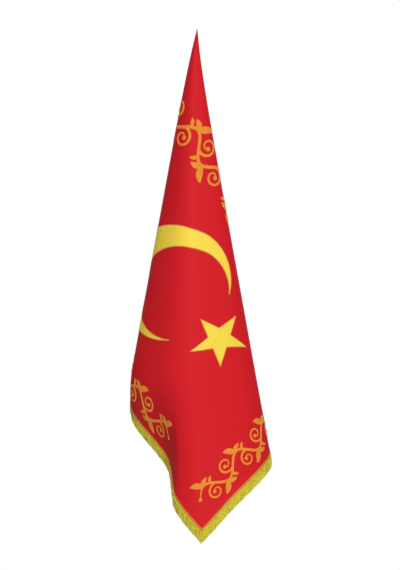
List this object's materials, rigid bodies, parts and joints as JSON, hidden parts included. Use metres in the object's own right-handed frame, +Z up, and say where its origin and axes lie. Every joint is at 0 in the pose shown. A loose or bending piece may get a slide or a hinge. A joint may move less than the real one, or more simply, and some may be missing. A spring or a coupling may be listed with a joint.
{
  "type": "fringed ceremonial banner",
  "caption": "Rectangular satin banner hung from one corner, falling as a folded cone, with a short fringe below each of its two lower edges.",
  "frame": {"origin": "the point that the gathered corner hangs from", "axes": "+Z up, the front of the drape faces -Y, +X to the right of a viewer in front"},
  "size_m": [0.4668, 0.3374, 1.702],
  "materials": {
    "red_satin": "satin weave with a soft sheen",
    "gold_fringe": "twisted rayon strands"
  },
  "bodies": {
    "root": {"banner_cloth": "red_satin", "bottom_fringe": "gold_fringe", "fly_fringe": "gold_fringe"}
  },
  "joints": []
}
